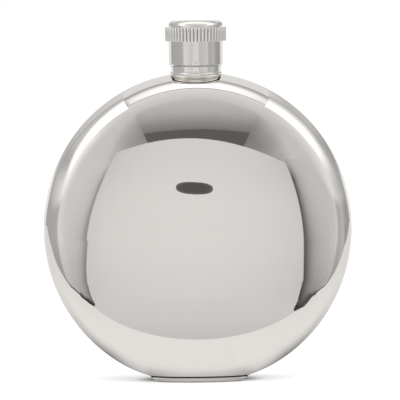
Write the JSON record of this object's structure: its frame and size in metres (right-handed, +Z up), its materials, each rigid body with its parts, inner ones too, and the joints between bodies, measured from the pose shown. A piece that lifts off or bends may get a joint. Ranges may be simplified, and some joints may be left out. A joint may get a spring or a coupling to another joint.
{
  "type": "round hip flask",
  "caption": "Round polished steel hip flask with domed faces, a threaded neck, a small foot and a ribbed screw cap.",
  "frame": {"origin": "centre of the foot's underside, in the plane the flask stands on", "axes": "+Z up along the neck and cap, -Y out of the front face, +X to the right seen from the front"},
  "size_m": [0.1, 0.03, 0.1168],
  "materials": {
    "polished_steel": "mirror polished stainless steel",
    "plain_steel": "bright turned stainless steel",
    "liner_plastic": "moulded off-white plastic",
    "seal_rubber": "smooth grey silicone rubber"
  },
  "bodies": {
    "flask": {"front_shell": "polished_steel", "back_shell": "polished_steel", "foot_plate": "polished_steel", "neck_spout": "plain_steel", "neck_collar": "polished_steel"},
    "seal": {"cap_seal": "seal_rubber"},
    "cap": {"cap_shell": "polished_steel", "cap_grip_ring": "polished_steel", "cap_thread_liner": "liner_plastic"}
  },
  "joints": [
    {"name": "cap_lift", "type": "slide", "parent": "flask", "child": "seal", "axis": [0, 0, 1], "range_m": [0, 0.012]},
    {"name": "cap_turn", "type": "hinge", "parent": "seal", "child": "cap", "pos_m": [0, 0, 0.109], "axis": [0, 0, 1], "range_deg": [0, 1800]}
  ],
  "couplings": [
    {"joint": "cap_turn", "follows": "cap_lift", "rad_per_m": 2618}
  ]
}
